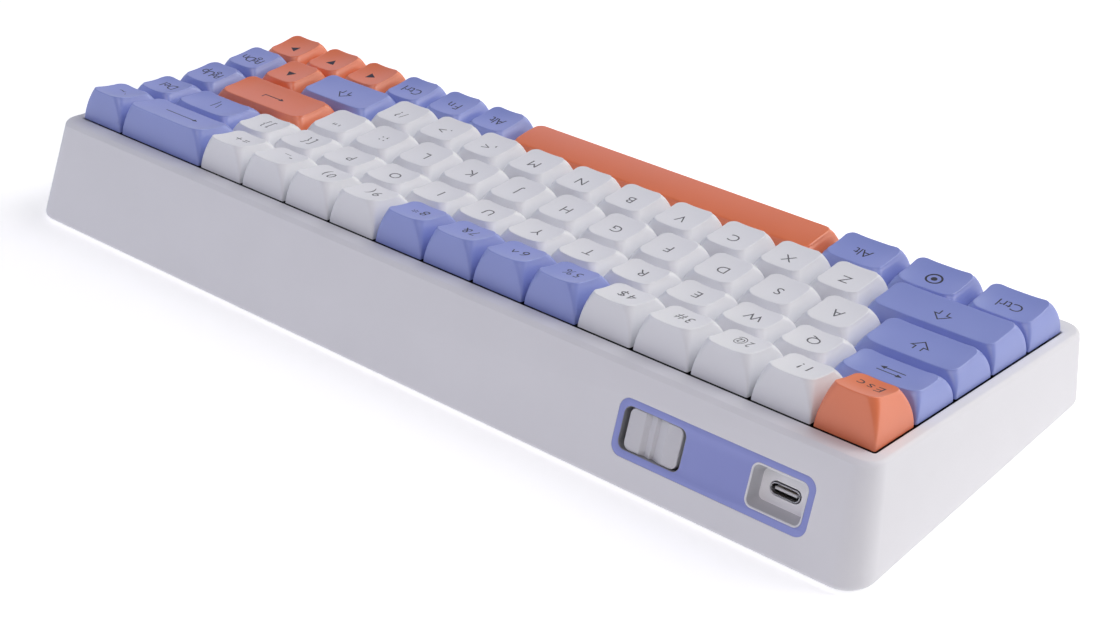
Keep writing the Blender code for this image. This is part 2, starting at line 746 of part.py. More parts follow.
def build_connector_board(wall):
    """The small board behind the panel, with the slide switch's body on it."""
    board_top = port_centre()[1] - PORT_SIZE[1] / 2 - FIT_GAP
    bm = bmesh.new()
    low = (BOARD_X[0], BOARD_Y[0], board_top - BOARD_THICKNESS)
    box(bm, low, (BOARD_X[1], BOARD_Y[1], board_top))
    board = add_object("connector_board", bm, wall)

    middle_z = sum(SLOT_Z) / 2
    bm = bmesh.new()
    low = (KNOB_CENTRE_X - SWITCH_BODY_HALF_X, SWITCH_BODY_Y[0], middle_z - SWITCH_BODY_HALF_Z)
    high = (KNOB_CENTRE_X + SWITCH_BODY_HALF_X, SWITCH_BODY_Y[1], middle_z + SWITCH_BODY_HALF_Z)
    box(bm, low, high)
    combine(board, add_object("add_switch_body", bm, wall), "UNION")

    half_x, half_z = SWITCH_SLOT_HALF
    bm = bmesh.new()
    low = (KNOB_CENTRE_X - half_x, SWITCH_SLOT_END, middle_z - half_z)
    box(bm, low, (KNOB_CENTRE_X + half_x, SWITCH_BODY_Y[1] + MM, middle_z + half_z))
    combine(board, add_object("cut_switch_slide", bm, wall))
    paint(board, BOARD_GREEN, 0.5)


def build_usb_port(wall):
    """A steel cup, open towards the rear."""
    front = -INLET_DEPTH + PORT_STANDS_OUT
    back = front - PORT_LENGTH
    rings = [
        at_depth(port_outline(0.0), back),
        at_depth(port_outline(0.0), front),
        at_depth(port_outline(PORT_WALL), front),
        at_depth(port_outline(PORT_WALL), back + 2 * PORT_WALL),
    ]
    paint(add_wall_tool("usb_c_port", wall, rings), STEEL, 0.3, 1.0)


def main():
    clear_scene()
    deck = add_empty("deck_frame", None, deck_origin(), DECK_TILT)
    wall = add_empty("wall_frame", deck, (0.0, CASE_BACK_Y, 0.0), math.atan(BACK_FLARE))
    pads = pad_boxes()
    build_top_case(deck, wall)
    build_bottom_cover(deck, pads)
    build_pads(pads)
    build_keys(deck)
    build_switches(deck)
    build_plate(deck)
    build_electronics(deck)
    build_accent_panel(wall)
    build_mode_switch_knob(wall)
    build_connector_board(wall)
    build_usb_port(wall)


main()
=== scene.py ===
"""Looks of a compact mechanical keyboard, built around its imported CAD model.

Every length is in metres in the CAD model's frame. Most pieces are drawn in the frame of the
bezel plane ("deck"), and the pieces of the rear panel in the frame of the rear wall ("wall").
"""

import math

import bmesh
import bpy
from mathutils import Matrix, Vector

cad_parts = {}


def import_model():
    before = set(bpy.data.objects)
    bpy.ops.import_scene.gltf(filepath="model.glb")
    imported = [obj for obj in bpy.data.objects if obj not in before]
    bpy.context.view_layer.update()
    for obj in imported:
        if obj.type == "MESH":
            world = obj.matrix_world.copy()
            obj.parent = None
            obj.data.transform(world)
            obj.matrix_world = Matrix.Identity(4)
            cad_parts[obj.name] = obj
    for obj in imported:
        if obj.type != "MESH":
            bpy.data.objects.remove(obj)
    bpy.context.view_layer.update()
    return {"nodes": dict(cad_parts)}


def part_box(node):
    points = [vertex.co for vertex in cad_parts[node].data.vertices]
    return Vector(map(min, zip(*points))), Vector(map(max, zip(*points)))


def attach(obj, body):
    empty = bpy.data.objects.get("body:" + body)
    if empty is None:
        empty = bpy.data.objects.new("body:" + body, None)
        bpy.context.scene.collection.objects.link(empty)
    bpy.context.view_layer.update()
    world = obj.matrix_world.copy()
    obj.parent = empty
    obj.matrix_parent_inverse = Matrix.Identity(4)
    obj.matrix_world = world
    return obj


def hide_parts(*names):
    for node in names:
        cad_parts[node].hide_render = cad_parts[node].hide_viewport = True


MM = 0.001
SHARP_ANGLE = math.radians(38)

# Camera: eye, Euler angles and lens of the photograph's view
CAMERA_EYE = (-0.36471, 0.40396, 0.31263)
CAMERA_ANGLES = (59.6434, 0.6292, -139.5172)
CAMERA_LENS = 66.148
SENSOR_WIDTH = 36.0
CLIP_START = 0.01

# Deck frame, as in the CAD model
DECK_TILT = math.radians(5.65)
PCB_MIDDLE_Z = -11.8 * MM
PITCH = 19.05 * MM
ROWS = 5
KEY_GAP = 0.9 * MM

# Case
CASE_HALF_X = 156.3 * MM
CASE_BACK_Y = 54.3 * MM
CASE_FRONT_Y = -55.3 * MM
CASE_DEPTH = 31.3 * MM
SIDE_FLARE = 4.5 / 31.3
BACK_FLARE = 8.0 / 31.3
CORNER_RADIUS = 6.5 * MM
CORNER_GROWTH = 2.0 / 31.3
CORNER_STEPS = 14
SMALLEST_CASE_CORNER = 0.5 * MM
SMALLEST_CORNER = 0.2 * MM
TOP_FILLET = 1.3 * MM
BOTTOM_FILLET = 1.6 * MM
FILLET_STEPS = 7
CHAMFER_REACH = 1.25 * MM  # the rear top edge is a flat chamfer
CHAMFER_DROP = 0.95 * MM
CHAMFER_EDGE = 0.12 * MM  # both edges of the chamfer have a bevel: its side along the case
CHAMFER_TOP_DROP = 0.03 * MM  # and how far it cuts into the chamfer, at the top
CHAMFER_END_REACH = 0.02 * MM  # and at the rear
CHAMFER_FACING = 0.75  # sine of the outline's direction at which the chamfer begins
UNDERSIDE_ROUNDS = 8
CAVITY_RUNS_BELOW = 5.0 * MM
WALL = 2.6 * MM
TOP_WALL = 3.0 * MM
WINDOW_HALF_X = 152.4 * MM
WINDOW_HALF_Y = 47.7 * MM
WINDOW_EDGE = 0.35 * MM
WINDOW_RADIUS = 0.8 * MM
EDGE_STEPS = 4

# Rear panel, in the wall frame
PANEL_X = (-142.9 * MM, -81.4 * MM)
PANEL_Z = (-24.4 * MM, -8.3 * MM)
PANEL_RADIUS = 3.3 * MM
PANEL_THICKNESS = 1.2 * MM
PANEL_EDGE = 0.12 * MM
PANEL_EDGE_STEPS = 3
POCKET_CLEARANCE = 0.3 * MM  # behind the panel
SLOT_X = (-103.4 * MM, -83.2 * MM)
SLOT_Z = (-22.3 * MM, -10.2 * MM)
SLOT_CLEARANCE = 0.3 * MM  # round the slot, in the case behind the panel
INLET_X = (-141.1 * MM, -123.9 * MM)
INLET_Z = (-22.3 * MM, -10.1 * MM)
OPENING_RADIUS = 2.3 * MM
INLET_DEPTH = 4.4 * MM
INLET_LIP = 0.55 * MM
INLET_EDGE = 0.25 * MM
INLET_FLOOR_EDGE = 0.5 * MM
INLET_WALL = 1.3 * MM
INLET_BOSS_STARTS = 0.8 * MM
RECESS_FLOOR_STARTS = 0.2 * MM  # above the recess's floor, up its rounded edge
INLET_SIDE_DRAFT = 0.7 * MM
INLET_END_DRAFT = 1.2 * MM
SEAM = 0.04 * MM
NUDGE = 0.005 * MM

# USB-C receptacle in the inlet
PORT_SIZE = (8.94 * MM, 3.26 * MM)
PORT_LENGTH = 7.3 * MM
PORT_WALL = 0.3 * MM
PORT_STANDS_OUT = 0.4 * MM
PORT_GAP = 0.3 * MM
PORT_ROUND_STEPS = 10
PORT_LIP_STEPS = 8
LINER_GAP = 0.05 * MM
LINER_DEPTH = (1.0 * MM, 2.0 * MM)  # from the receptacle's back
TONGUE_SIZE = (6.7 * MM, 0.7 * MM)
TONGUE_STARTS = 0.6 * MM  # behind the receptacle's mouth
TONGUE_EDGE = 0.15 * MM
TONGUE_RADIUS = 0.12 * MM
CONTACT_COUNT = 12
CONTACT_PITCH = 0.5 * MM
CONTACT_HALF_SIZE = (0.12 * MM, 0.02 * MM)
CONTACT_LIFT = 0.01 * MM
CONTACT_STARTS = 1.1 * MM
CONTACT_ENDS = 2.2 * MM

# Knob of the slide switch, and the thin dark grey sleeve in its slot, which paints shade on the
# slot's walls
KNOB_HALF_X = 8.6 * MM
KNOB_HALF_Z = 5.85 * MM
KNOB_RADIUS = 2.0 * MM
KNOB_CENTRE_X = -93.4 * MM
KNOB_FACE = -0.55 * MM
KNOB_BACK = -3.6 * MM
KNOB_EDGE = 0.3 * MM
KNOB_SOFTENING = 0.08 * MM
KNOB_SOFT_ANGLE = math.radians(20)
# Finger groove across the knob: distance from its middle and depth
KNOB_GROOVE = [(3.5, 0.0), (2.3, 1.2), (0.2, 0.45), (-0.5, 1.3), (-3.8, 0.0)]
SLEEVE_WALL = 0.12 * MM
SLEEVE_GAP = 0.01 * MM
SLEEVE_STARTS = 0.12 * MM
SLEEVE_DEPTH = 3.4 * MM

# Keycaps
CAP_BASE_RADIUS = 0.5 * MM
CAP_LEVELS = 12
CAP_CORNER_STEPS = 7
CAP_SIDE_STEPS = 8
CAP_STEPS_PER_UNIT = 4
CAP_RIM = 0.3 * MM
CAP_RIM_OVERHANG = 0.3  # share of the rim that lies outside the top outline
CAP_RADIUS_PER_INSET = 0.6
CROWNED_FROM = 3.0  # key units; wider caps have a crown in place of a dish
CAP_WALL = 1.5 * MM
CAP_TOP_WALL = 2.2 * MM
CAP_LOWEST_CEILING = 4.9 * MM
DISH_RINGS = (0.93, 0.8, 0.64, 0.48, 0.32, 0.16, 0.05)
SIDE_POWER = 1.7
BACK_POWER = 1.2
FRONT_POWER = 2.2
CORNER_POWER = 1.5
CROWN_CURVE = -9.0
STEM_RADIUS = 2.5 * MM
STEM_BOTTOM = -2.5 * MM
STEM_OVERLAP = 0.3 * MM
STEM_STEPS = 20
# Height of the dish's middle, tilt, shift to the rear, side inset, half depth, corner radius and
# the dish's curve
ROW_PROFILES = [
    (9.2, 6.5, 0.95, 2.3, 6.55, 2.9, 0.0128),
    (6.55, -0.4, 0.7, 2.25, 6.15, 2.7, 0.0150),
    (6.65, -6.0, 0.6, 2.45, 7.0, 3.0, 0.0100),
    (7.65, -7.0, 0.6, 2.45, 6.9, 2.5, 0.0080),
    (7.2, -9.6, 0.3, 2.4, 6.7, 2.6, 0.0115),
]
TALL_PROFILE = (11.25, 9.6, 0.9, 2.65, 6.7, 2.9, 0.0114)
TALL_KEYS = ("esc",)

# Legends
LEGEND_HEIGHT = 3.8 * MM
LEGEND_Y = (-0.3 * MM, 0.2 * MM, 1.0 * MM, 1.7 * MM, 0.9 * MM)
FONT_CAP_HEIGHT = 0.729
LEGEND_LIFT = 0.015 * MM
LEGEND_DEPTH = 0.03 * MM
LEGEND_EDGE = 0.7 * MM
LEGEND_THINNING = 0.03 * MM
LETTER_SPACING = {"Esc": 1.25, "Ctrl": 0.94, "Alt": 0.9, "Del": 0.9, "PgUp": 0.82, "PgDn": 0.82}
PAIR_SPACING = 1.25
WIDEST_PAIR = 5.3 * MM
LINE_WIDTH = 0.38 * MM
MARK_PREFIX = "mark:"
SMALLEST_MITRE = 0.3
SPLIT_ROUNDS = 4
MERGE_MARK = 0.001 * MM
MERGE_LEGEND = 0.0005 * MM
# Mark shapes, in millimetres
HEAD_LENGTH = 1.7
HEAD_HALF_WIDTH = 0.85
OPEN_ARROW = [
    (-1.15, -2.4), (-1.15, -0.5), (-2.5, -0.5), (0.0, 2.3), (2.5, -0.5), (1.15, -0.5), (1.15, -2.4)
]
TRIANGLE = [(0.0, 1.6), (-1.75, -1.4), (1.75, -1.4)]
SUPER_RING = (2.3, 0.6 * MM)
SUPER_DOT = 0.95

# Pads under the case
PAD_EDGE = 0.35 * MM
PAD_ROUNDNESS = 0.98
PAD_STEPS = 12

# Colours (linear)
SHELL_WHITE = (0.78, 0.78, 0.82)
CAP_WHITE = (0.80, 0.81, 0.85)
# White plastic of the knob, darker than the shell as painted shade for its place deep in the slot
KNOB_WHITE_PAINTED_SHADE = (0.64, 0.64, 0.68)
CAP_BLUE = (0.258, 0.315, 0.70)
CAP_ORANGE = (0.81, 0.20, 0.082)
PANEL_BLUE = (0.29, 0.33, 0.71)
# Painted shade on the recess's side walls and painted light on its floor, darker and lighter than
# the shell's white plastic
RECESS_PAINTED_SHADE = (0.54, 0.54, 0.57)
RECESS_PAINTED_LIGHT = (0.93, 0.93, 0.95)
# Dark grey of the slot's sleeve: painted shade on the slot's walls
SLEEVE_PAINTED_SHADE = (0.3, 0.3, 0.32)
TONGUE_GREY = (0.7, 0.7, 0.72)
LEGEND_GREY = (0.05, 0.05, 0.065)
LEGEND_PALE = (0.14, 0.14, 0.155)
BLACK = (0.012, 0.012, 0.014)
RUBBER = (0.03, 0.03, 0.032)
BOARD_GREEN = (0.02, 0.06, 0.035)
STEEL = (0.62, 0.62, 0.64)
BLACKENED_STEEL = (0.03, 0.03, 0.032)
FOIL = (0.6, 0.6, 0.63)
GOLD = (0.75, 0.52, 0.22)

# Studio: the floor, and large soft lights as (name, azimuth, elevation, colour times strength)
FLOOR_HALF = 6.0
FLOOR_WHITE = (0.92, 0.92, 0.92, 1.0)
FLOOR_ROUGHNESS = 0.9
FLOOR_GLOW = (0.43, 1.0)  # near the object and far from it, where the lights don't reach
FLOOR_GLOW_REACH = (0.6, 1.5)  # distances from the middle between which it grows
WORLD_LIGHT = (0.01, 0.01, 0.012)
LIGHT_DISTANCE = 1.7
LIGHT_SIZE = 0.9
LIGHT_POWER = 40.0
LIGHTS = [
    ("key_low", 225, 22, (0.152, 0.142, 0.132)),
    ("key_high", 225, 52, (0.287, 0.285, 0.295)),
    ("fill_left", 135, 52, (0.12, 0.12, 0.12)),
    ("fill_rear", 90, 52, (0.105, 0.090, 0.102)),
    ("fill_far", 45, 22, (0.071, 0.078, 0.095)),
    ("fill_right", 0, 22, (0.043, 0.055, 0.066)),
    ("fill_front", 266, 27, (0.155, 0.160, 0.140)),
    ("fill_corner", 315, 22, (0.046, 0.044, 0.056)),
]

WHITE, BLUE, ORANGE = "cap_white", "cap_blue", "cap_orange"
# Every row from the rear to the front: (name, width in key units, material slot, legend)
LAYOUT = [
    [("esc", 1, ORANGE, "Esc")]
    + [(text[0], 1, WHITE, text) for text in ("1!", "2@", "3#", "4$")]
    + [(text[0], 1, BLUE, text) for text in ("5%", "6^", "7&", "8*")]
    + [("9", 1, WHITE, "9("), ("0", 1, WHITE, "0)")]
    + [("minus", 1, WHITE, "-_"), ("equal", 1, WHITE, "=+")]
    + [("backspace", 2, BLUE, "mark:backspace"), ("tilde", 1, BLUE, "`~")],
    [("tab", 1.5, BLUE, "mark:tab")]
    + [(letter.lower(), 1, WHITE, letter) for letter in "QWERTYUIOP"]
    + [("bracket_left", 1, WHITE, "[{"), ("bracket_right", 1, WHITE, "]}")]
    + [("backslash", 1.5, BLUE, "\\|"), ("delete", 1, BLUE, "Del")],
    [("caps_lock", 1.75, BLUE, "mark:caps")]
    + [(letter.lower(), 1, WHITE, letter) for letter in "ASDFGHJKL"]
    + [("semicolon", 1, WHITE, ";:"), ("quote", 1, WHITE, "'\"")]
    + [("enter", 2.25, ORANGE, "mark:enter"), ("page_up", 1, BLUE, "PgUp")],
    [("shift_left", 2.25, BLUE, "mark:shift")]
    + [(letter.lower(), 1, WHITE, letter) for letter in "ZXCVBNM"]
    + [("comma", 1, WHITE, ",<"), ("period", 1, WHITE, ".>"), ("slash", 1, WHITE, "/?")]
    + [("shift_right", 1.75, BLUE, "mark:shift"), ("up", 1, ORANGE, "mark:up")]
    + [("page_down", 1, BLUE, "PgDn")],
    [("ctrl_left", 1.25, BLUE, "Ctrl"), ("super", 1.25, BLUE, "mark:super")]
    + [("alt_left", 1.25, BLUE, "Alt"), ("space", 6.25, ORANGE, "")]
    + [("alt_right", 1, BLUE, "Alt"), ("fn", 1, BLUE, "Fn"), ("ctrl_right", 1, BLUE, "Ctrl")]
    + [("left", 1, ORANGE, "mark:left"), ("down", 1, ORANGE, "mark:down")]
    + [("right", 1, ORANGE, "mark:right")],
]
SHARED_NODE = "keys_letters_front_rows"
SHARED_ROWS = (2, 3)  # their white caps belong to the shared node


# ---------------------------------------------------------------- materials


def add_node(tree, kind, **values):
    """A node with its properties and its unlinked inputs set; input names use _ for a space."""
    node = tree.nodes.new(kind)
    for name, value in values.items():
        label = name.replace("_", " ")
        if label in node.inputs:
            node.inputs[label].default_value = value
        else:
            setattr(node, name, value)
    return node


def moulded_plastic(name, colour, roughness, grain=2600.0, bump=0.012, tint=0.03, specular=0.5):
    """Moulded plastic: fine spark-eroded grain, with faint changes of tone and of gloss."""
    material = bpy.data.materials.new(name)
    material.use_nodes = True
    tree = material.node_tree
    link = tree.links.new
    shader = tree.nodes["Principled BSDF"]
    shader.inputs["Specular IOR Level"].default_value = specular
    place = add_node(tree, "ShaderNodeTexCoord")

    cloud = add_node(tree, "ShaderNodeTexNoise", Scale=45.0, Detail=3.0)
    link(place.outputs["Object"], cloud.inputs["Vector"])
    tone = add_node(tree, "ShaderNodeMapRange", To_Min=1.0 - tint, To_Max=1.0 + tint)
    link(cloud.outputs["Fac"], tone.inputs["Value"])
    shade = add_node(tree, "ShaderNodeVectorMath", operation="SCALE")
    shade.inputs[0].default_value = colour
    link(tone.outputs["Result"], shade.inputs["Scale"])
    link(shade.outputs["Vector"], shader.inputs["Base Color"])

    gloss = add_node(
        tree, "ShaderNodeMapRange", To_Min=roughness - 0.05, To_Max=roughness + 0.05
    )
    link(cloud.outputs["Fac"], gloss.inputs["Value"])
    link(gloss.outputs["Result"], shader.inputs["Roughness"])

    fine = add_node(tree, "ShaderNodeTexNoise", Scale=grain, Detail=2.0, Roughness=0.6)
    link(place.outputs["Object"], fine.inputs["Vector"])
    relief = add_node(tree, "ShaderNodeBump", Strength=0.35, Distance=bump * MM)
    link(fine.outputs["Fac"], relief.inputs["Height"])
    link(relief.outputs["Normal"], shader.inputs["Normal"])
    return material


def brushed_metal(name, colour, roughness, stretch=(60.0, 2400.0, 2400.0)):
    """Metal with fine streaks along X that vary its gloss and relief."""
    material = bpy.data.materials.new(name)
    material.use_nodes = True
    tree = material.node_tree
    link = tree.links.new
    shader = tree.nodes["Principled BSDF"]
    shader.inputs["Base Color"].default_value = (*colour, 1.0)
    shader.inputs["Metallic"].default_value = 1.0
    place = add_node(tree, "ShaderNodeTexCoord")
    scaled = add_node(tree, "ShaderNodeMapping")
    scaled.inputs["Scale"].default_value = stretch
    link(place.outputs["Object"], scaled.inputs["Vector"])
    streaks = add_node(tree, "ShaderNodeTexNoise", Scale=1.0, Detail=3.0)
    link(scaled.outputs["Vector"], streaks.inputs["Vector"])
    gloss = add_node(
        tree, "ShaderNodeMapRange", To_Min=roughness - 0.08, To_Max=roughness + 0.08
    )
    link(streaks.outputs["Fac"], gloss.inputs["Value"])
    link(gloss.outputs["Result"], shader.inputs["Roughness"])
    relief = add_node(tree, "ShaderNodeBump", Strength=0.2, Distance=0.004 * MM)
    link(streaks.outputs["Fac"], relief.inputs["Height"])
    link(relief.outputs["Normal"], shader.inputs["Normal"])
    return material


def make_materials():
    plastic, metal = moulded_plastic, brushed_metal
    glossy = {"grain": 3200.0, "tint": 0.04, "specular": 0.95}
    ink = {"grain": 5000.0, "bump": 0.004, "tint": 0.1, "specular": 0.2}
    recipes = {
        "shell_white": (plastic, SHELL_WHITE, 0.5, {}),
        "cap_white": (plastic, CAP_WHITE, 0.45, {"grain": 3200.0}),
        "cap_blue": (plastic, CAP_BLUE, 0.36, glossy),
        "cap_orange": (plastic, CAP_ORANGE, 0.36, glossy),
        "panel_blue": (plastic, PANEL_BLUE, 0.5, {"tint": 0.04}),
        # The knob's white, darkened as painted shade
        "knob_white": (plastic, KNOB_WHITE_PAINTED_SHADE, 0.42, {"grain": 3200.0, "bump": 0.008}),
        # Painted shade for the recess's side walls and painted light for its floor
        "recess_painted_shade": (plastic, RECESS_PAINTED_SHADE, 0.5, {}),
        "recess_painted_light": (plastic, RECESS_PAINTED_LIGHT, 0.5, {}),
        # Painted shade on the slot's walls
        "sleeve_painted_shade": (plastic, SLEEVE_PAINTED_SHADE, 0.5, {}),
        "legend_ink": (plastic, LEGEND_GREY, 0.6, ink),
        "legend_pale": (plastic, LEGEND_PALE, 0.6, ink),
        "black_plastic": (plastic, BLACK, 0.45, {"grain": 1800.0, "bump": 0.01, "tint": 0.1}),
        "pad_rubber": (plastic, RUBBER, 0.8, {"grain": 1500.0, "bump": 0.03, "tint": 0.1}),
        "board_green": (plastic, BOARD_GREEN, 0.4, {"grain": 900.0}),
        "port_steel": (metal, STEEL, 0.28, {}),
        "plate_metal": (metal, BLACKENED_STEEL, 0.45, {}),
        "battery_foil": (metal, FOIL, 0.35, {"stretch": (400.0, 400.0, 400.0)}),
        "contact_gold": (metal, GOLD, 0.3, {}),
        "tongue_grey": (plastic, TONGUE_GREY, 0.4, {"grain": 4000.0, "bump": 0.004}),
    }
    return {
        name: make(name, colour, roughness, **options)
        for name, (make, colour, roughness, options) in recipes.items()
    }


# ---------------------------------------------------------------- meshes


def add_object(name, bm, material=None, placed=None):
    """Turn a bmesh, drawn in the placed frame, into an object with its faces pointing out."""
    bmesh.ops.recalc_face_normals(bm, faces=bm.faces)
    mesh = bpy.data.meshes.new(name)
    bm.to_mesh(mesh)
    bm.free()
    if placed is not None:
        mesh.transform(placed)
    mesh.shade_smooth()
    mesh.set_sharp_from_angle(angle=SHARP_ANGLE)
    obj = bpy.data.objects.new(name, mesh)
    bpy.context.scene.collection.objects.link(obj)
    if material is not None:
        mesh.materials.append(material)
    return obj


def cut(target, tool, operation="DIFFERENCE"):
    """Apply a Boolean with an exact solver, and drop the tool."""
    modifier = target.modifiers.new("cut", "BOOLEAN")
    modifier.operation = operation
    modifier.object = tool
    graph = bpy.context.evaluated_depsgraph_get()
    mesh = bpy.data.meshes.new_from_object(target.evaluated_get(graph))
    target.modifiers.clear()
    target.data = mesh
    bpy.data.objects.remove(tool, do_unlink=True)


def finish_edges(obj):
    """Smooth shading with sharp edges, set again after Booleans."""
    obj.data.shade_smooth()
    obj.data.set_sharp_from_angle(angle=SHARP_ANGLE)


def rounded_outline(half_x, front_y, back_y, radius, steps=CORNER_STEPS):
    """Points of a rounded rectangle, anticlockwise from its right side's rear corner."""
    points = []
    corners = [
        (half_x - radius, back_y - radius, 0),
        (radius - half_x, back_y - radius, 90),
        (radius - half_x, front_y + radius, 180),
        (half_x - radius, front_y + radius, 270),
    ]
    for centre_x, centre_y, start in corners:
        for step in range(steps + 1):
            angle = math.radians(start + 90 * step / steps)
            points.append(
                (centre_x + radius * math.cos(angle), centre_y + radius * math.sin(angle))
            )
    return points


def join_rings(bm, first, second):
    """A band of quads between two closed loops of vertices."""
    count = len(first)
    for i in range(count):
        j = (i + 1) % count
        bm.faces.new((first[i], first[j], second[j], second[i]))


def loft(bm, rings):
    """A closed solid through rings of the same number of points."""
    loops = [[bm.verts.new(point) for point in ring] for ring in rings]
    for first, second in zip(loops, loops[1:]):
        join_rings(bm, first, second)
    bm.faces.new(loops[0])
    bm.faces.new(loops[-1])


def loft_object(name, rings, material=None, placed=None):
    bm = bmesh.new()
    loft(bm, rings)
    return add_object(name, bm, material, placed)


def box_rings(low, high):
    """The bottom and top corners of a box, for loft."""
    return [
        [(low[0], low[1], z), (high[0], low[1], z), (high[0], high[1], z), (low[0], high[1], z)]
        for z in (low[2], high[2])
    ]


def quarter(radius, steps):
    """(reach, drop) pairs round a quarter circle, from the flat face over the edge."""
    angles = [math.radians(90 * step / steps) for step in range(steps + 1)]
    return [(radius * (1 - math.sin(a)), radius * (1 - math.cos(a))) for a in angles]


def mouth(radius, steps):
    """The same for the edge of an opening, with its first ring just clear of the face it cuts."""
    (reach, _), *rest = quarter(radius, steps)
    return [(reach, -NUDGE), *rest]


# ---------------------------------------------------------------- frames


def deck_matrix():
    """The bezel plane's frame, found from the circuit board, which lies parallel to it."""
    low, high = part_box("pcb")
    turn = Matrix.Rotation(DECK_TILT, 4, "X")
    middle = turn @ Vector((0.0, 0.0, PCB_MIDDLE_Z))
    return Matrix.Translation((low + high) / 2 - middle) @ turn


def wall_matrix(deck):
    """The rear wall's frame: X along the wall, Y out of it and Z up it."""
    lean = Matrix.Rotation(math.atan(BACK_FLARE), 4, "X")
    return deck @ Matrix.Translation((0.0, CASE_BACK_Y, 0.0)) @ lean


# ---------------------------------------------------------------- case


def case_outline(inset, depth):
    """The case's outline at a depth below the deck, drawn in by the inset."""
    return rounded_outline(
        CASE_HALF_X + SIDE_FLARE * depth - inset,
        CASE_FRONT_Y + inset,
        CASE_BACK_Y + BACK_FLARE * depth - inset,
        max(CORNER_RADIUS + CORNER_GROWTH * depth - inset, SMALLEST_CASE_CORNER),
    )


def bottom_depth(y, height):
    """Depth below the deck, at y, of the level plane at a height above the case's underside."""
    return CASE_DEPTH - (CASE_BACK_Y - y) * math.tan(DECK_TILT) - height / math.cos(DECK_TILT)


def flat_ring(inset, depth):
    return [(x, y, -depth) for x, y in case_outline(inset, depth)]


def bottom_ring(inset, height):
    """Where the flared walls meet that level plane; each point is found by repeated steps."""
    count = len(case_outline(inset, 0.0))
    ring = []
    for index in range(count):
        depth = CASE_DEPTH
        for _ in range(UNDERSIDE_ROUNDS):
            x, y = case_outline(inset, depth)[index]
            depth = bottom_depth(y, height)
        ring.append((x, y, -depth))
    return ring


def rear_share():
    """For each outline point, how much its side of the case is the rear one, from 0 to 1."""
    shares = []
    for start in (0, 90, 180, 270):
        for step in range(CORNER_STEPS + 1):
            facing = math.sin(math.radians(start + 90 * step / CORNER_STEPS))
            share = min(max((facing - CHAMFER_FACING) / (1 - CHAMFER_FACING), 0.0), 1.0)
            shares.append(share * share * (3 - 2 * share))
    return shares


def top_rings():
    """The case's top edge: a round fillet that turns into a chamfer along the rear."""
    shares = rear_share()
    last = FILLET_STEPS + 1
    fillet = quarter(TOP_FILLET, last)
    chamfer = [(CHAMFER_REACH + CHAMFER_EDGE, 0.0), (CHAMFER_REACH, CHAMFER_TOP_DROP)]
    for step in range(1, last - 2):
        along = step / (last - 2)
        drop = CHAMFER_DROP * along + CHAMFER_TOP_DROP * (1 - along)
        chamfer.append((CHAMFER_REACH * (1 - along), drop))
    chamfer += [(CHAMFER_END_REACH, CHAMFER_DROP), (0.0, CHAMFER_DROP + CHAMFER_EDGE)]
    rings = []
    for (reach, drop), (flat_reach, flat_drop) in zip(fillet, chamfer):
        round_ring = flat_ring(reach, drop)
        flat = flat_ring(flat_reach, flat_drop)
        rings.append(
            [Vector(a).lerp(Vector(b), share) for a, b, share in zip(round_ring, flat, shares)]
        )
    return rings


def wall_outline(x_range, z_range, radius, inset=0.0, steps=8):
    """A rounded rectangle on the rear wall, drawn in by the inset."""
    middle_x = sum(x_range) / 2
    half_x = (x_range[1] - x_range[0]) / 2 - inset
    low, high = z_range[0] + inset, z_range[1] - inset
    outline = rounded_outline(half_x, low, high, max(radius - inset, SMALLEST_CORNER), steps)
    return [(middle_x + x, z) for x, z in outline]


def at_depth(outline, y):
    """An outline of the rear wall, at y out of the wall."""
    return [(x, y, z) for x, z in outline]


def inlet_outline(inset):
    return wall_outline(INLET_X, INLET_Z, OPENING_RADIUS, inset)


def inlet_middle():
    return sum(INLET_X) / 2, sum(INLET_Z) / 2


def inlet_inner_outline(share, inset=0.0):
    """The recess's outline at a share of its depth, drawn in by its draft."""
    side, end = INLET_SIDE_DRAFT * share, INLET_END_DRAFT * share
    x_range = (INLET_X[0] + side, INLET_X[1] - side)
    z_range = (INLET_Z[0] + end, INLET_Z[1] - end)
    return wall_outline(x_range, z_range, OPENING_RADIUS, INLET_LIP + inset)


def port_outline(inset):
    """The receptacle's outline with its rounded ends, in the middle of the inlet."""
    middle_x, middle_z = inlet_middle()
    half_x, half_z = PORT_SIZE[0] / 2 - inset, PORT_SIZE[1] / 2 - inset
    radius = half_z - 2 * NUDGE
    outline = rounded_outline(half_x, -half_z, half_z, radius, PORT_ROUND_STEPS)
    return [(middle_x + x, middle_z + z) for x, z in outline]


def ring_solid(name, outer, inner, high, low, placed):
    """A closed ring between two outlines of the rear wall and two depths."""
    bm = bmesh.new()
    rings = [at_depth(outer, high), at_depth(outer, low)]
    rings += [at_depth(inner, low), at_depth(inner, high)]
    loops = [[bm.verts.new(point) for point in ring] for ring in rings]
    for first, second in zip(loops, loops[1:] + loops[:1]):
        join_rings(bm, first, second)
    return add_object(name, bm, None, placed)


def paint_recess_shade_and_light(case, wall, materials):
    """Behind its lip the recess gets painted shade on its side walls and painted light on its
    floor.
    """
    case.data.materials.append(materials["recess_painted_shade"])
    case.data.materials.append(materials["recess_painted_light"])
    from_world = wall.inverted()
    for face in case.data.polygons:
        x, y, z = from_world @ face.center
        inside = INLET_X[0] < x < INLET_X[1] and INLET_Z[0] < z < INLET_Z[1]
        if inside and -INLET_DEPTH - NUDGE < y < -INLET_EDGE:
            # Index 1 is painted shade on the side walls, index 2 is painted light on the floor
            face.material_index = 1 if y > RECESS_FLOOR_STARTS - INLET_DEPTH else 2


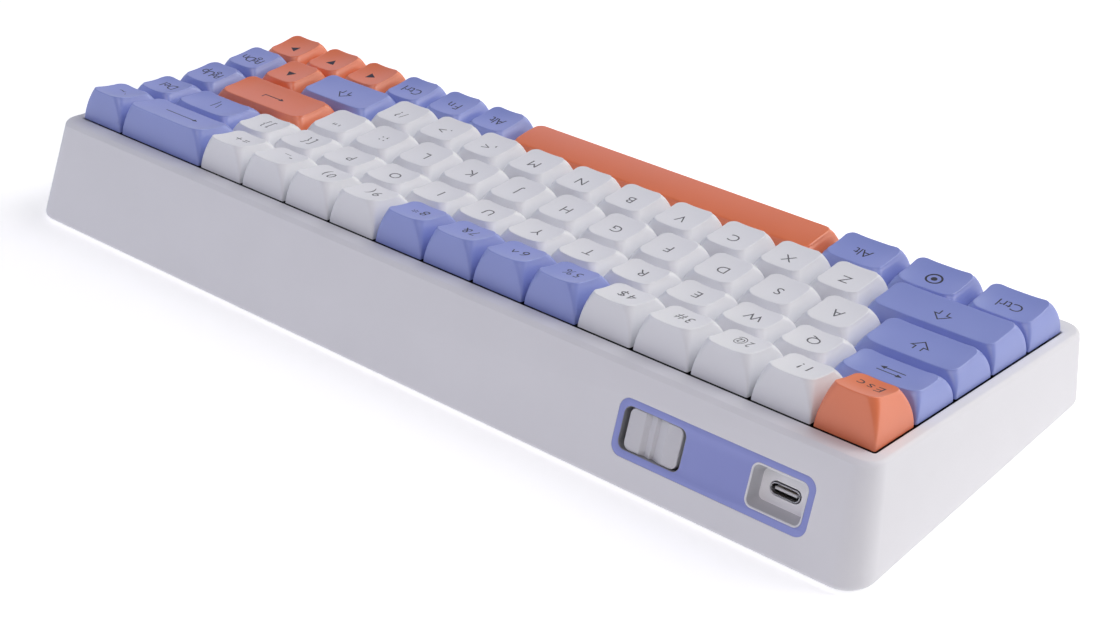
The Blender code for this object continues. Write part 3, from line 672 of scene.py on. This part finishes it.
def make_shell(deck, material):
    """The case's walls and top, hollow and open below."""
    rings = top_rings()
    rings += [
        bottom_ring(reach, drop) for reach, drop in reversed(quarter(BOTTOM_FILLET, FILLET_STEPS))
    ]
    case = loft_object("case_shell", rings, material, deck)
    cavity = [flat_ring(WALL, TOP_WALL), bottom_ring(WALL, -CAVITY_RUNS_BELOW)]
    cut(case, loft_object("cavity", cavity, None, deck))
    return case


def add_inlet_boss(case, wall):
    """Material behind the rear wall for the inlet's recess."""
    outline = inlet_outline(-INLET_WALL)
    rings = [at_depth(outline, -INLET_BOSS_STARTS), at_depth(outline, -INLET_DEPTH - INLET_WALL)]
    cut(case, loft_object("boss", rings, None, wall), "UNION")


def cut_window(case, deck):
    """The opening round the keys, with a small round edge."""
    levels = [
        (WINDOW_EDGE, -MM),
        *mouth(WINDOW_EDGE, EDGE_STEPS),
        (0.0, TOP_WALL + MM),
    ]
    window = []
    for reach, drop in levels:
        half_x, half_y = WINDOW_HALF_X + reach, WINDOW_HALF_Y + reach
        outline = rounded_outline(half_x, -half_y, half_y, WINDOW_RADIUS, EDGE_STEPS)
        window.append([(x, y, -drop) for x, y in outline])
    cut(case, loft_object("window", window, None, deck))


def cut_panel_pocket(case, wall):
    """The pocket that holds the panel, round the inlet's lip, and the slot behind it."""
    outer = wall_outline(PANEL_X, PANEL_Z, PANEL_RADIUS, -SEAM)
    island = inlet_outline(SEAM)
    depth = -PANEL_THICKNESS - POCKET_CLEARANCE
    cut(case, ring_solid("pocket", outer, island, MM, depth, wall))

    slot = wall_outline(SLOT_X, SLOT_Z, OPENING_RADIUS, -SLOT_CLEARANCE)
    rings = [at_depth(slot, MM), at_depth(slot, -WALL - MM)]
    cut(case, loft_object("slot", rings, None, wall))


def cut_inlet(case, wall):
    """The recess with its lip and rounded floor, and the way through for the receptacle."""
    recess = [at_depth(inlet_outline(INLET_LIP - INLET_EDGE), MM)]
    recess += [
        at_depth(inlet_outline(INLET_LIP - reach), -drop)
        for reach, drop in mouth(INLET_EDGE, EDGE_STEPS)
    ]
    for reach, drop in reversed(quarter(INLET_FLOOR_EDGE, EDGE_STEPS)):
        level = INLET_DEPTH - drop
        recess.append(at_depth(inlet_inner_outline(level / INLET_DEPTH, reach), -level))
    cut(case, loft_object("inlet", recess, None, wall))

    port = port_outline(-PORT_GAP)
    back = -INLET_DEPTH - INLET_WALL - MM
    rings = [at_depth(port, MM - INLET_DEPTH), at_depth(port, back)]
    cut(case, loft_object("port", rings, None, wall))


def build_case(deck, wall, materials):
    case = make_shell(deck, materials["shell_white"])
    add_inlet_boss(case, wall)
    cut_window(case, deck)
    cut_panel_pocket(case, wall)
    cut_inlet(case, wall)
    finish_edges(case)
    # Painted shade and painted light in the inlet's recess
    paint_recess_shade_and_light(case, wall, materials)
    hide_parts("top_case")
    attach(case, "case")


# ---------------------------------------------------------------- rear panel


def build_panel(wall, materials):
    edges = quarter(PANEL_EDGE, PANEL_EDGE_STEPS)
    rings = [
        at_depth(wall_outline(PANEL_X, PANEL_Z, PANEL_RADIUS, reach), -drop)
        for reach, drop in edges
    ]
    rings.append(at_depth(wall_outline(PANEL_X, PANEL_Z, PANEL_RADIUS), -PANEL_THICKNESS))
    panel = loft_object("panel", rings, materials["panel_blue"], wall)
    for name, x_range, z_range in (("slot", SLOT_X, SLOT_Z), ("inlet", INLET_X, INLET_Z)):
        levels = [
            (PANEL_EDGE, -MM),
            *mouth(PANEL_EDGE, PANEL_EDGE_STEPS),
            (0.0, 2 * PANEL_THICKNESS),
        ]
        tool = [
            at_depth(wall_outline(x_range, z_range, OPENING_RADIUS, -reach), -drop)
            for reach, drop in levels
        ]
        cut(panel, loft_object(name, tool, None, wall))
    finish_edges(panel)
    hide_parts("accent_panel")
    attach(panel, "case")


def build_knob(wall, materials):
    middle_z = sum(SLOT_Z) / 2
    x_range = (KNOB_CENTRE_X - KNOB_HALF_X, KNOB_CENTRE_X + KNOB_HALF_X)
    z_range = (middle_z - KNOB_HALF_Z, middle_z + KNOB_HALF_Z)
    rings = [
        at_depth(wall_outline(x_range, z_range, KNOB_RADIUS, reach), KNOB_FACE - drop)
        for reach, drop in quarter(KNOB_EDGE, EDGE_STEPS + 1)
    ]
    rings.append(at_depth(wall_outline(x_range, z_range, KNOB_RADIUS), KNOB_BACK))
    knob = loft_object("switch_knob", rings, materials["knob_white"], wall)

    groove = [(KNOB_CENTRE_X + x * MM, KNOB_FACE - depth * MM) for x, depth in KNOB_GROOVE]
    groove = [(groove[0][0], MM)] + groove + [(groove[-1][0], MM)]
    tool = [[(x, y, z) for x, y in groove] for z in (z_range[0] - MM, z_range[1] + MM)]
    cut(knob, loft_object("groove", tool, None, wall))
    modifier = knob.modifiers.new("soften", "BEVEL")
    modifier.width = KNOB_SOFTENING
    modifier.segments = 2
    modifier.limit_method = "ANGLE"
    modifier.angle_limit = KNOB_SOFT_ANGLE
    finish_edges(knob)
    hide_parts("mode_switch_knob")
    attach(knob, "mode_switch")


def build_slot_shade_sleeve(wall, materials):
    """A thin dark grey sleeve on the slot's walls, which paints shade in the slot."""
    outer = wall_outline(SLOT_X, SLOT_Z, OPENING_RADIUS, SLEEVE_GAP)
    inner = wall_outline(SLOT_X, SLOT_Z, OPENING_RADIUS, SLEEVE_WALL)
    sleeve = ring_solid("slot_shade_sleeve", outer, inner, -SLEEVE_STARTS, -SLEEVE_DEPTH, wall)
    sleeve.data.materials.append(materials["sleeve_painted_shade"])
    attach(sleeve, "case")


def build_port(wall, materials):
    front = PORT_STANDS_OUT - INLET_DEPTH
    back = front - PORT_LENGTH
    build_port_shell(wall, materials["port_steel"], front, back)
    outline = port_outline(PORT_WALL + LINER_GAP)
    rings = [at_depth(outline, back + depth) for depth in LINER_DEPTH]
    liner = loft_object("usb_c_liner", rings, materials["black_plastic"], wall)
    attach(liner, "case")
    build_tongue(wall, materials["tongue_grey"], front, back)
    build_contacts(wall, materials["contact_gold"], front, back)


def build_port_shell(wall, material, front, back):
    """The receptacle's steel shell, round at its lip and closed at its back."""
    half_wall = PORT_WALL / 2
    rings = [at_depth(port_outline(0.0), back)]
    for step in range(PORT_LIP_STEPS + 1):
        angle = math.radians(180 * step / PORT_LIP_STEPS)
        inset = half_wall * (1 - math.cos(angle))
        rings.append(at_depth(port_outline(inset), front - half_wall * (1 - math.sin(angle))))
    rings.append(at_depth(port_outline(PORT_WALL), back + 2 * PORT_WALL))
    shell = loft_object("usb_c_shell", rings, material, wall)
    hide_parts("usb_c_port")
    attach(shell, "case")


def build_tongue(wall, material, front, back):
    middle_x, middle_z = inlet_middle()
    half_x, half_z = TONGUE_SIZE[0] / 2, TONGUE_SIZE[1] / 2
    tip = front - TONGUE_STARTS
    rings = []
    for y, inset in ((back + LINER_DEPTH[1], 0.0), (tip - TONGUE_EDGE, 0.0), (tip, TONGUE_EDGE)):
        outline = rounded_outline(half_x - inset, inset - half_z, half_z - inset, TONGUE_RADIUS, 3)
        rings.append([(middle_x + x, y, middle_z + z) for x, z in outline])
    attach(loft_object("usb_c_tongue", rings, material, wall), "case")


def build_contacts(wall, material, front, back):
    """Two rows of gold contacts, above and below the tongue."""
    middle_x, middle_z = inlet_middle()
    half_width, half_height = CONTACT_HALF_SIZE
    bm = bmesh.new()
    for side in (-1, 1):
        for index in range(CONTACT_COUNT):
            x = middle_x + (index - (CONTACT_COUNT - 1) / 2) * CONTACT_PITCH
            z = middle_z + side * (TONGUE_SIZE[1] / 2 + CONTACT_LIFT)
            low = (x - half_width, back + CONTACT_ENDS, z - half_height)
            high = (x + half_width, front - CONTACT_STARTS, z + half_height)
            loft(bm, box_rings(low, high))
    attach(add_object("usb_c_contacts", bm, material, wall), "case")


# ---------------------------------------------------------------- keycaps


def key_places():
    """(row, name, width, slot, legend, x, y) of every key in the deck frame."""
    places = []
    for row, keys in enumerate(LAYOUT):
        left = -sum(key[1] for key in keys) / 2
        y = ((ROWS - 1) / 2 - row) * PITCH
        for name, width, slot, legend in keys:
            places.append((row, name, width, slot, legend, (left + width / 2) * PITCH, y))
            left += width
    return places


class Cap:
    """The shape of one keycap in its own frame, with its base at z = 0."""

    def __init__(self, row, name, width):
        profile = TALL_PROFILE if name in TALL_KEYS else ROW_PROFILES[row]
        height, tilt, shift, inset, half_depth, radius, curve = profile
        self.height = height * MM
        self.slope = math.tan(math.radians(tilt))
        self.shift = shift * MM
        self.flat_half = (width - 1) * PITCH / 2
        self.is_crowned = width > CROWNED_FROM
        self.curve = CROWN_CURVE if self.is_crowned else curve / MM
        self.half_base = (PITCH - KEY_GAP) / 2
        self.side_inset = inset * MM
        self.back_inset = self.half_base - (shift + half_depth) * MM
        self.front_inset = self.half_base + (shift - half_depth) * MM
        self.radius = radius * MM
        self.long_steps = CAP_SIDE_STEPS + int(CAP_STEPS_PER_UNIT * (width - 1))

    def surface(self, x, y):
        """Height of the top, which is a tilted dish or, on the widest cap, a crown."""
        along = y - self.shift
        across = 0.0 if self.is_crowned else max(abs(x) - self.flat_half, 0.0)
        return self.height + self.slope * along + self.curve * (across**2 + along**2)

    def outline(self, level, inset=0.0):
        """Points round the cap at a share of its height, evenly matched between levels."""
        half_x = self.half_base + self.flat_half - self.side_inset * level**SIDE_POWER - inset
        back = self.half_base - self.back_inset * level**BACK_POWER - inset
        front = -self.half_base + self.front_inset * level**FRONT_POWER + inset
        radius = CAP_BASE_RADIUS + (self.radius - CAP_BASE_RADIUS) * level**CORNER_POWER
        radius = max(radius - inset * CAP_RADIUS_PER_INSET, SMALLEST_CORNER)
        steps = CAP_CORNER_STEPS
        corners = rounded_outline(half_x, front, back, radius, steps)
        points = []
        for corner in range(4):
            arc = corners[corner * (steps + 1) : (corner + 1) * (steps + 1)]
            following = corners[(corner + 1) * (steps + 1) % len(corners)]
            points += arc
            count = self.long_steps if corner % 2 == 0 else CAP_SIDE_STEPS
            start, end = Vector(arc[-1]), Vector(following)
            points += [tuple(start.lerp(end, step / count)) for step in range(1, count)]
        return points

    def ring(self, level):
        return [(x, y, level * self.surface(x, y)) for x, y in self.outline(level)]

    def shrunk(self, outline, share):
        """The outline drawn in towards the cap's middle, or its middle line if it is wide."""
        points = []
        for x, y in outline:
            near = min(max(x, -self.flat_half), self.flat_half)
            moved = (near + (x - near) * share, self.shift + (y - self.shift) * share)
            points.append((*moved, self.surface(*moved)))
        return points

    def rings(self):
        """Rings from the base up the sides, over the rim and into the dish."""
        rim = CAP_RIM * (2 if self.is_crowned else 1)
        top_level = 1 - rim / self.height
        rings = [self.ring(top_level * step / CAP_LEVELS) for step in range(CAP_LEVELS)]
        overhang = rim * CAP_RIM_OVERHANG
        for reach, drop in reversed(quarter(rim, EDGE_STEPS)):
            outline = self.outline(1.0, reach - overhang)
            rings.append([(x, y, self.surface(x, y) - drop) for x, y in outline])
        inner = self.outline(1.0, rim - overhang)
        rings += [self.shrunk(inner, share) for share in DISH_RINGS]
        return rings


def build_cap_mesh(cap):
    """A closed shell, hollow from below, and its stem."""
    bm = bmesh.new()
    loops = [[bm.verts.new(point) for point in ring] for ring in cap.rings()]
    for first, second in zip(loops, loops[1:]):
        join_rings(bm, first, second)
    bm.faces.new(loops[-1])

    ceiling = max(cap.height - CAP_TOP_WALL, CAP_LOWEST_CEILING)
    inner_base = cap.outline(0.0, CAP_WALL)
    half_top = cap.half_base - cap.side_inset - CAP_WALL
    share = half_top / (cap.half_base - CAP_WALL)
    inner_top = []
    for x, y in inner_base:
        near = min(max(x, -cap.flat_half), cap.flat_half)
        inner_top.append((near + (x - near) * share, y * share, ceiling))
    inner = [[bm.verts.new((x, y, 0.0)) for x, y in inner_base]]
    inner.append([bm.verts.new(point) for point in inner_top])
    join_rings(bm, loops[0], inner[0])
    join_rings(bm, inner[0], inner[1])
    bm.faces.new(inner[1])

    stem = circle(STEM_RADIUS, STEM_STEPS)
    loft(bm, [[(x, y, z) for x, y in stem] for z in (STEM_BOTTOM, ceiling + STEM_OVERLAP)])
    return bm


# ---------------------------------------------------------------- legends


def stroke(points, width=LINE_WIDTH, closed=False):
    """The outline of a line of even width through the points, with mitred corners."""
    points = [Vector(point) for point in points]
    count = len(points)
    sides = ([], [])
    for index, point in enumerate(points):
        before = points[index - 1] if index or closed else None
        after = points[(index + 1) % count] if index + 1 < count or closed else None
        steps = [(b - a).normalized() for a, b in ((before, point), (point, after)) if a and b]
        normals = [Vector((-step.y, step.x)) for step in steps]
        if len(normals) == 2:
            middle = (normals[0] + normals[1]).normalized()
            offset = middle * (width / 2 / max(middle.dot(normals[0]), SMALLEST_MITRE))
        else:
            offset = normals[0] * width / 2
        sides[0].append(point + offset)
        sides[1].append(point - offset)
    return sides


def stroke_faces(points, width=LINE_WIDTH, closed=False):
    """The line as a list of quads."""
    left, right = stroke([Vector(p) * MM for p in points], width, closed)
    count = len(points)
    quads = []
    for index in range(count if closed else count - 1):
        following = (index + 1) % count
        quads.append((left[index], right[index], right[following], left[following]))
    return quads


def filled(points):
    """One face through the points, in millimetres."""
    return [[Vector(point) * MM for point in points]]


def circle(radius, steps=28):
    angles = [math.radians(360 * step / steps) for step in range(steps)]
    return [(radius * math.cos(a), radius * math.sin(a)) for a in angles]


def arrow_line(start, end, hook=None):
    """A straight arrow with a small solid head at its end, in millimetres."""
    start, end = Vector(start), Vector(end)
    along = (end - start).normalized()
    across = Vector((-along.y, along.x))
    neck = end - along * HEAD_LENGTH
    head = [end, neck + across * HEAD_HALF_WIDTH, neck - across * HEAD_HALF_WIDTH]
    line = [hook, start, neck] if hook else [start, neck]
    return stroke_faces(line) + filled(head)


def outlined_arrow(direction):
    """An outlined arrow whose stem stays open, pointing up (1) or down (-1)."""
    return stroke_faces([(x, y * direction) for x, y in OPEN_ARROW])


def triangle(angle):
    turn = Matrix.Rotation(math.radians(angle), 2)
    return filled([turn @ Vector(point) for point in TRIANGLE])


def marks():
    """Generic symbols, each as a list of faces in the plane."""
    ring_radius, ring_width = SUPER_RING
    return {
        "backspace": arrow_line((7.3, 0.0), (-7.3, 0.0)),
        "tab": arrow_line((3.8, 0.95), (-3.8, 0.95)) + arrow_line((-3.8, -0.95), (3.8, -0.95)),
        "caps": outlined_arrow(-1),
        "shift": outlined_arrow(1),
        "enter": arrow_line((4.2, -0.4), (-4.4, -0.4), (4.2, 1.3)),
        "super": stroke_faces(circle(ring_radius), ring_width, True) + filled(circle(SUPER_DOT)),
        "up": triangle(0),
        "left": triangle(90),
        "down": triangle(180),
        "right": triangle(270),
    }


def sort_elements(bm):
    """Give vertices, edges and faces an order that is the same on every run."""
    places = (
        (bm.verts, lambda vert: vert.co),
        (bm.edges, lambda edge: edge.verts[0].co + edge.verts[1].co),
        (bm.faces, lambda face: face.calc_center_median()),
    )
    for elements, place in places:
        order = sorted(elements, key=lambda item: [round(value, 8) for value in place(item)])
        rank = {item: index for index, item in enumerate(order)}
        elements.sort(key=rank.get)


def mark_bmesh(faces):
    """The faces as one thin slab."""
    bm = bmesh.new()
    for face in faces:
        bm.faces.new([bm.verts.new((*point, 0.0)) for point in face])
    bmesh.ops.remove_doubles(bm, verts=bm.verts, dist=MERGE_MARK)
    bmesh.ops.recalc_face_normals(bm, faces=bm.faces)
    grown = bmesh.ops.extrude_face_region(bm, geom=bm.faces[:], use_keep_orig=True)
    for item in grown["geom"]:
        if isinstance(item, bmesh.types.BMVert):
            item.co.z += LEGEND_DEPTH
    sort_elements(bm)
    return bm


def text_bmesh(text):
    """The text as a thin slab, centred, with pairs of signs squeezed to fit their cap."""
    curve = bpy.data.curves.new("legend", "FONT")
    curve.body = text
    curve.size = LEGEND_HEIGHT / FONT_CAP_HEIGHT
    curve.resolution_u = 4
    curve.extrude = LEGEND_DEPTH / 2
    curve.offset = -LEGEND_THINNING
    curve.space_character = LETTER_SPACING.get(text, PAIR_SPACING)
    helper = bpy.data.objects.new("legend", curve)
    bpy.context.scene.collection.objects.link(helper)
    bpy.context.view_layer.update()
    graph = bpy.context.evaluated_depsgraph_get()
    mesh = bpy.data.meshes.new_from_object(helper.evaluated_get(graph))
    bpy.data.objects.remove(helper, do_unlink=True)
    bm = bmesh.new()
    bm.from_mesh(mesh)
    left, right = min(vert.co.x for vert in bm.verts), max(vert.co.x for vert in bm.verts)
    is_pair = len(text) == 2 and not text.isalpha()
    squeeze = min(1.0, WIDEST_PAIR / (right - left)) if is_pair else 1.0
    for vert in bm.verts:
        vert.co.x = (vert.co.x - (left + right) / 2) * squeeze
        vert.co.y -= LEGEND_HEIGHT / 2
        vert.co.z += LEGEND_DEPTH / 2
    return bm


def drape(bm, cap, centre_y):
    """Lay a flat thin slab on the cap's top, after splitting its long edges."""
    bmesh.ops.remove_doubles(bm, verts=bm.verts, dist=MERGE_LEGEND)
    bmesh.ops.triangulate(bm, faces=bm.faces)
    for _ in range(SPLIT_ROUNDS):
        long_edges = [edge for edge in bm.edges if edge.calc_length() > LEGEND_EDGE]
        if not long_edges:
            break
        bmesh.ops.subdivide_edges(bm, edges=long_edges, cuts=1)
        bmesh.ops.triangulate(bm, faces=bm.faces)
    for vert in bm.verts:
        x, y = vert.co.x, vert.co.y + centre_y
        height = cap.surface(x, y) + LEGEND_LIFT - LEGEND_DEPTH
        vert.co = Vector((x, y, height + vert.co.z))


def build_legend(legend, row, cap, symbols):
    if legend.startswith(MARK_PREFIX):
        bm = mark_bmesh(symbols[legend.removeprefix(MARK_PREFIX)])
    else:
        bm = text_bmesh(legend)
    drape(bm, cap, LEGEND_Y[row])
    return bm


def build_keys(deck, materials):
    """Every cap with its legend; caps of one shape share a pattern."""
    patterns = {}
    symbols = marks()
    for row, name, width, slot, legend, x, y in key_places():
        cap = Cap(row, name, width)
        kind = (cap.height, width)
        placed = deck @ Matrix.Translation((x, y, 0.0))
        if kind not in patterns:
            patterns[kind] = add_object("cap", build_cap_mesh(cap))
        mesh = patterns[kind].data.copy()
        mesh.transform(placed)
        mesh.materials.append(materials[slot])
        obj = bpy.data.objects.new(f"cap_{name}", mesh)
        bpy.context.scene.collection.objects.link(obj)
        node = f"key_{name}"
        is_shared = slot == WHITE and row in SHARED_ROWS
        body = "case" if is_shared else node
        if is_shared:
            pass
        else:
            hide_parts(node)
        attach(obj, body)
        if legend:
            bm = build_legend(legend, row, cap, symbols)
            ink = "legend_pale" if slot == WHITE else "legend_ink"
            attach(add_object(f"legend_{name}", bm, materials[ink], placed), body)
    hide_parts(SHARED_NODE)
    for pattern in patterns.values():
        bpy.data.objects.remove(pattern, do_unlink=True)


# ---------------------------------------------------------------- the rest


def repaint(frame, materials):
    """Better finishes for the CAD nodes that stay."""
    finishes = {
        "bottom_cover": "shell_white",
        "switch_housings": "black_plastic",
        "switch_plate": "plate_metal",
        "pcb": "board_green",
        "connector_board": "board_green",
        "battery": "battery_foil",
    }
    for node, finish in finishes.items():
        obj = frame["nodes"][node]
        obj.data.materials.clear()
        obj.data.materials.append(materials[finish])


def build_pads(materials):
    """The two rubber strips under the case, round-ended and with a round lower edge."""
    for node in ("front_pad", "rear_pad"):
        low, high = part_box(node)
        middle = (low + high) / 2
        half_x, half_y = (high.x - low.x) / 2, (high.y - low.y) / 2
        levels = [(0.0, high.z - low.z), *reversed(quarter(PAD_EDGE, EDGE_STEPS))]
        rings = []
        for reach, drop in levels:
            radius = half_y * PAD_ROUNDNESS - reach
            outline = rounded_outline(
                half_x - reach, reach - half_y, half_y - reach, radius, PAD_STEPS
            )
            rings.append([(middle.x + x, middle.y + y, low.z + drop) for x, y in outline])
        pad = loft_object(f"{node}_strip", rings, materials["pad_rubber"])
        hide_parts(node)
        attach(pad, "case")


def build_stage():
    """A plain pale floor, with a glow of its own that grows beyond the lights' reach."""
    bm = bmesh.new()
    corners = [(-1, -1), (1, -1), (1, 1), (-1, 1)]
    bm.faces.new([bm.verts.new((x * FLOOR_HALF, y * FLOOR_HALF, 0.0)) for x, y in corners])
    floor = add_object("floor", bm)
    material = bpy.data.materials.new("floor_white")
    material.use_nodes = True
    tree = material.node_tree
    link = tree.links.new
    shader = tree.nodes["Principled BSDF"]
    shader.inputs["Base Color"].default_value = FLOOR_WHITE
    shader.inputs["Roughness"].default_value = FLOOR_ROUGHNESS
    shader.inputs["Emission Color"].default_value = (1.0, 1.0, 1.0, 1.0)
    place = add_node(tree, "ShaderNodeTexCoord")
    distance = add_node(tree, "ShaderNodeVectorMath", operation="LENGTH")
    link(place.outputs["Object"], distance.inputs[0])
    near, far = FLOOR_GLOW_REACH
    dim, bright = FLOOR_GLOW
    glow = add_node(
        tree, "ShaderNodeMapRange", From_Min=near, From_Max=far, To_Min=dim, To_Max=bright
    )
    link(distance.outputs["Value"], glow.inputs["Value"])
    link(glow.outputs["Result"], shader.inputs["Emission Strength"])
    floor.data.materials.append(material)


def add_soft_light(name, azimuth, elevation, colour):
    """A large square light that faces the object; its colour holds its strength too."""
    light = bpy.data.lights.new(name, "AREA")
    light.shape = "SQUARE"
    light.size = LIGHT_SIZE
    light.energy = LIGHT_POWER
    light.color = colour
    obj = bpy.data.objects.new(name, light)
    level, height = math.cos(math.radians(elevation)), math.sin(math.radians(elevation))
    turn = math.radians(azimuth)
    place = Vector((level * math.cos(turn), level * math.sin(turn), height)) * LIGHT_DISTANCE
    obj.location = place
    obj.rotation_euler = (-place).to_track_quat("-Z", "Y").to_euler()
    bpy.context.scene.collection.objects.link(obj)


def build_lights():
    for name, azimuth, elevation, colour in LIGHTS:
        add_soft_light(name, azimuth, elevation, colour)
    world = bpy.data.worlds.new("studio")
    world.use_nodes = True
    background = world.node_tree.nodes["Background"]
    background.inputs["Color"].default_value = (*WORLD_LIGHT, 1.0)
    background.inputs["Strength"].default_value = 1.0
    bpy.context.scene.world = world


def build_camera():
    data = bpy.data.cameras.new("camera")
    data.lens = CAMERA_LENS
    data.sensor_width = SENSOR_WIDTH
    data.clip_start = CLIP_START
    camera = bpy.data.objects.new("camera", data)
    camera.location = CAMERA_EYE
    camera.rotation_euler = [math.radians(angle) for angle in CAMERA_ANGLES]
    bpy.context.scene.collection.objects.link(camera)
    bpy.context.scene.camera = camera


def main():
    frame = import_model()
    bpy.context.scene.view_settings.view_transform = "Standard"
    build_camera()
    deck = deck_matrix()
    wall = wall_matrix(deck)
    materials = make_materials()
    build_case(deck, wall, materials)
    build_panel(wall, materials)
    build_knob(wall, materials)
    build_slot_shade_sleeve(wall, materials)
    build_port(wall, materials)
    build_keys(deck, materials)
    repaint(frame, materials)
    build_pads(materials)
    build_stage()
    build_lights()


main()
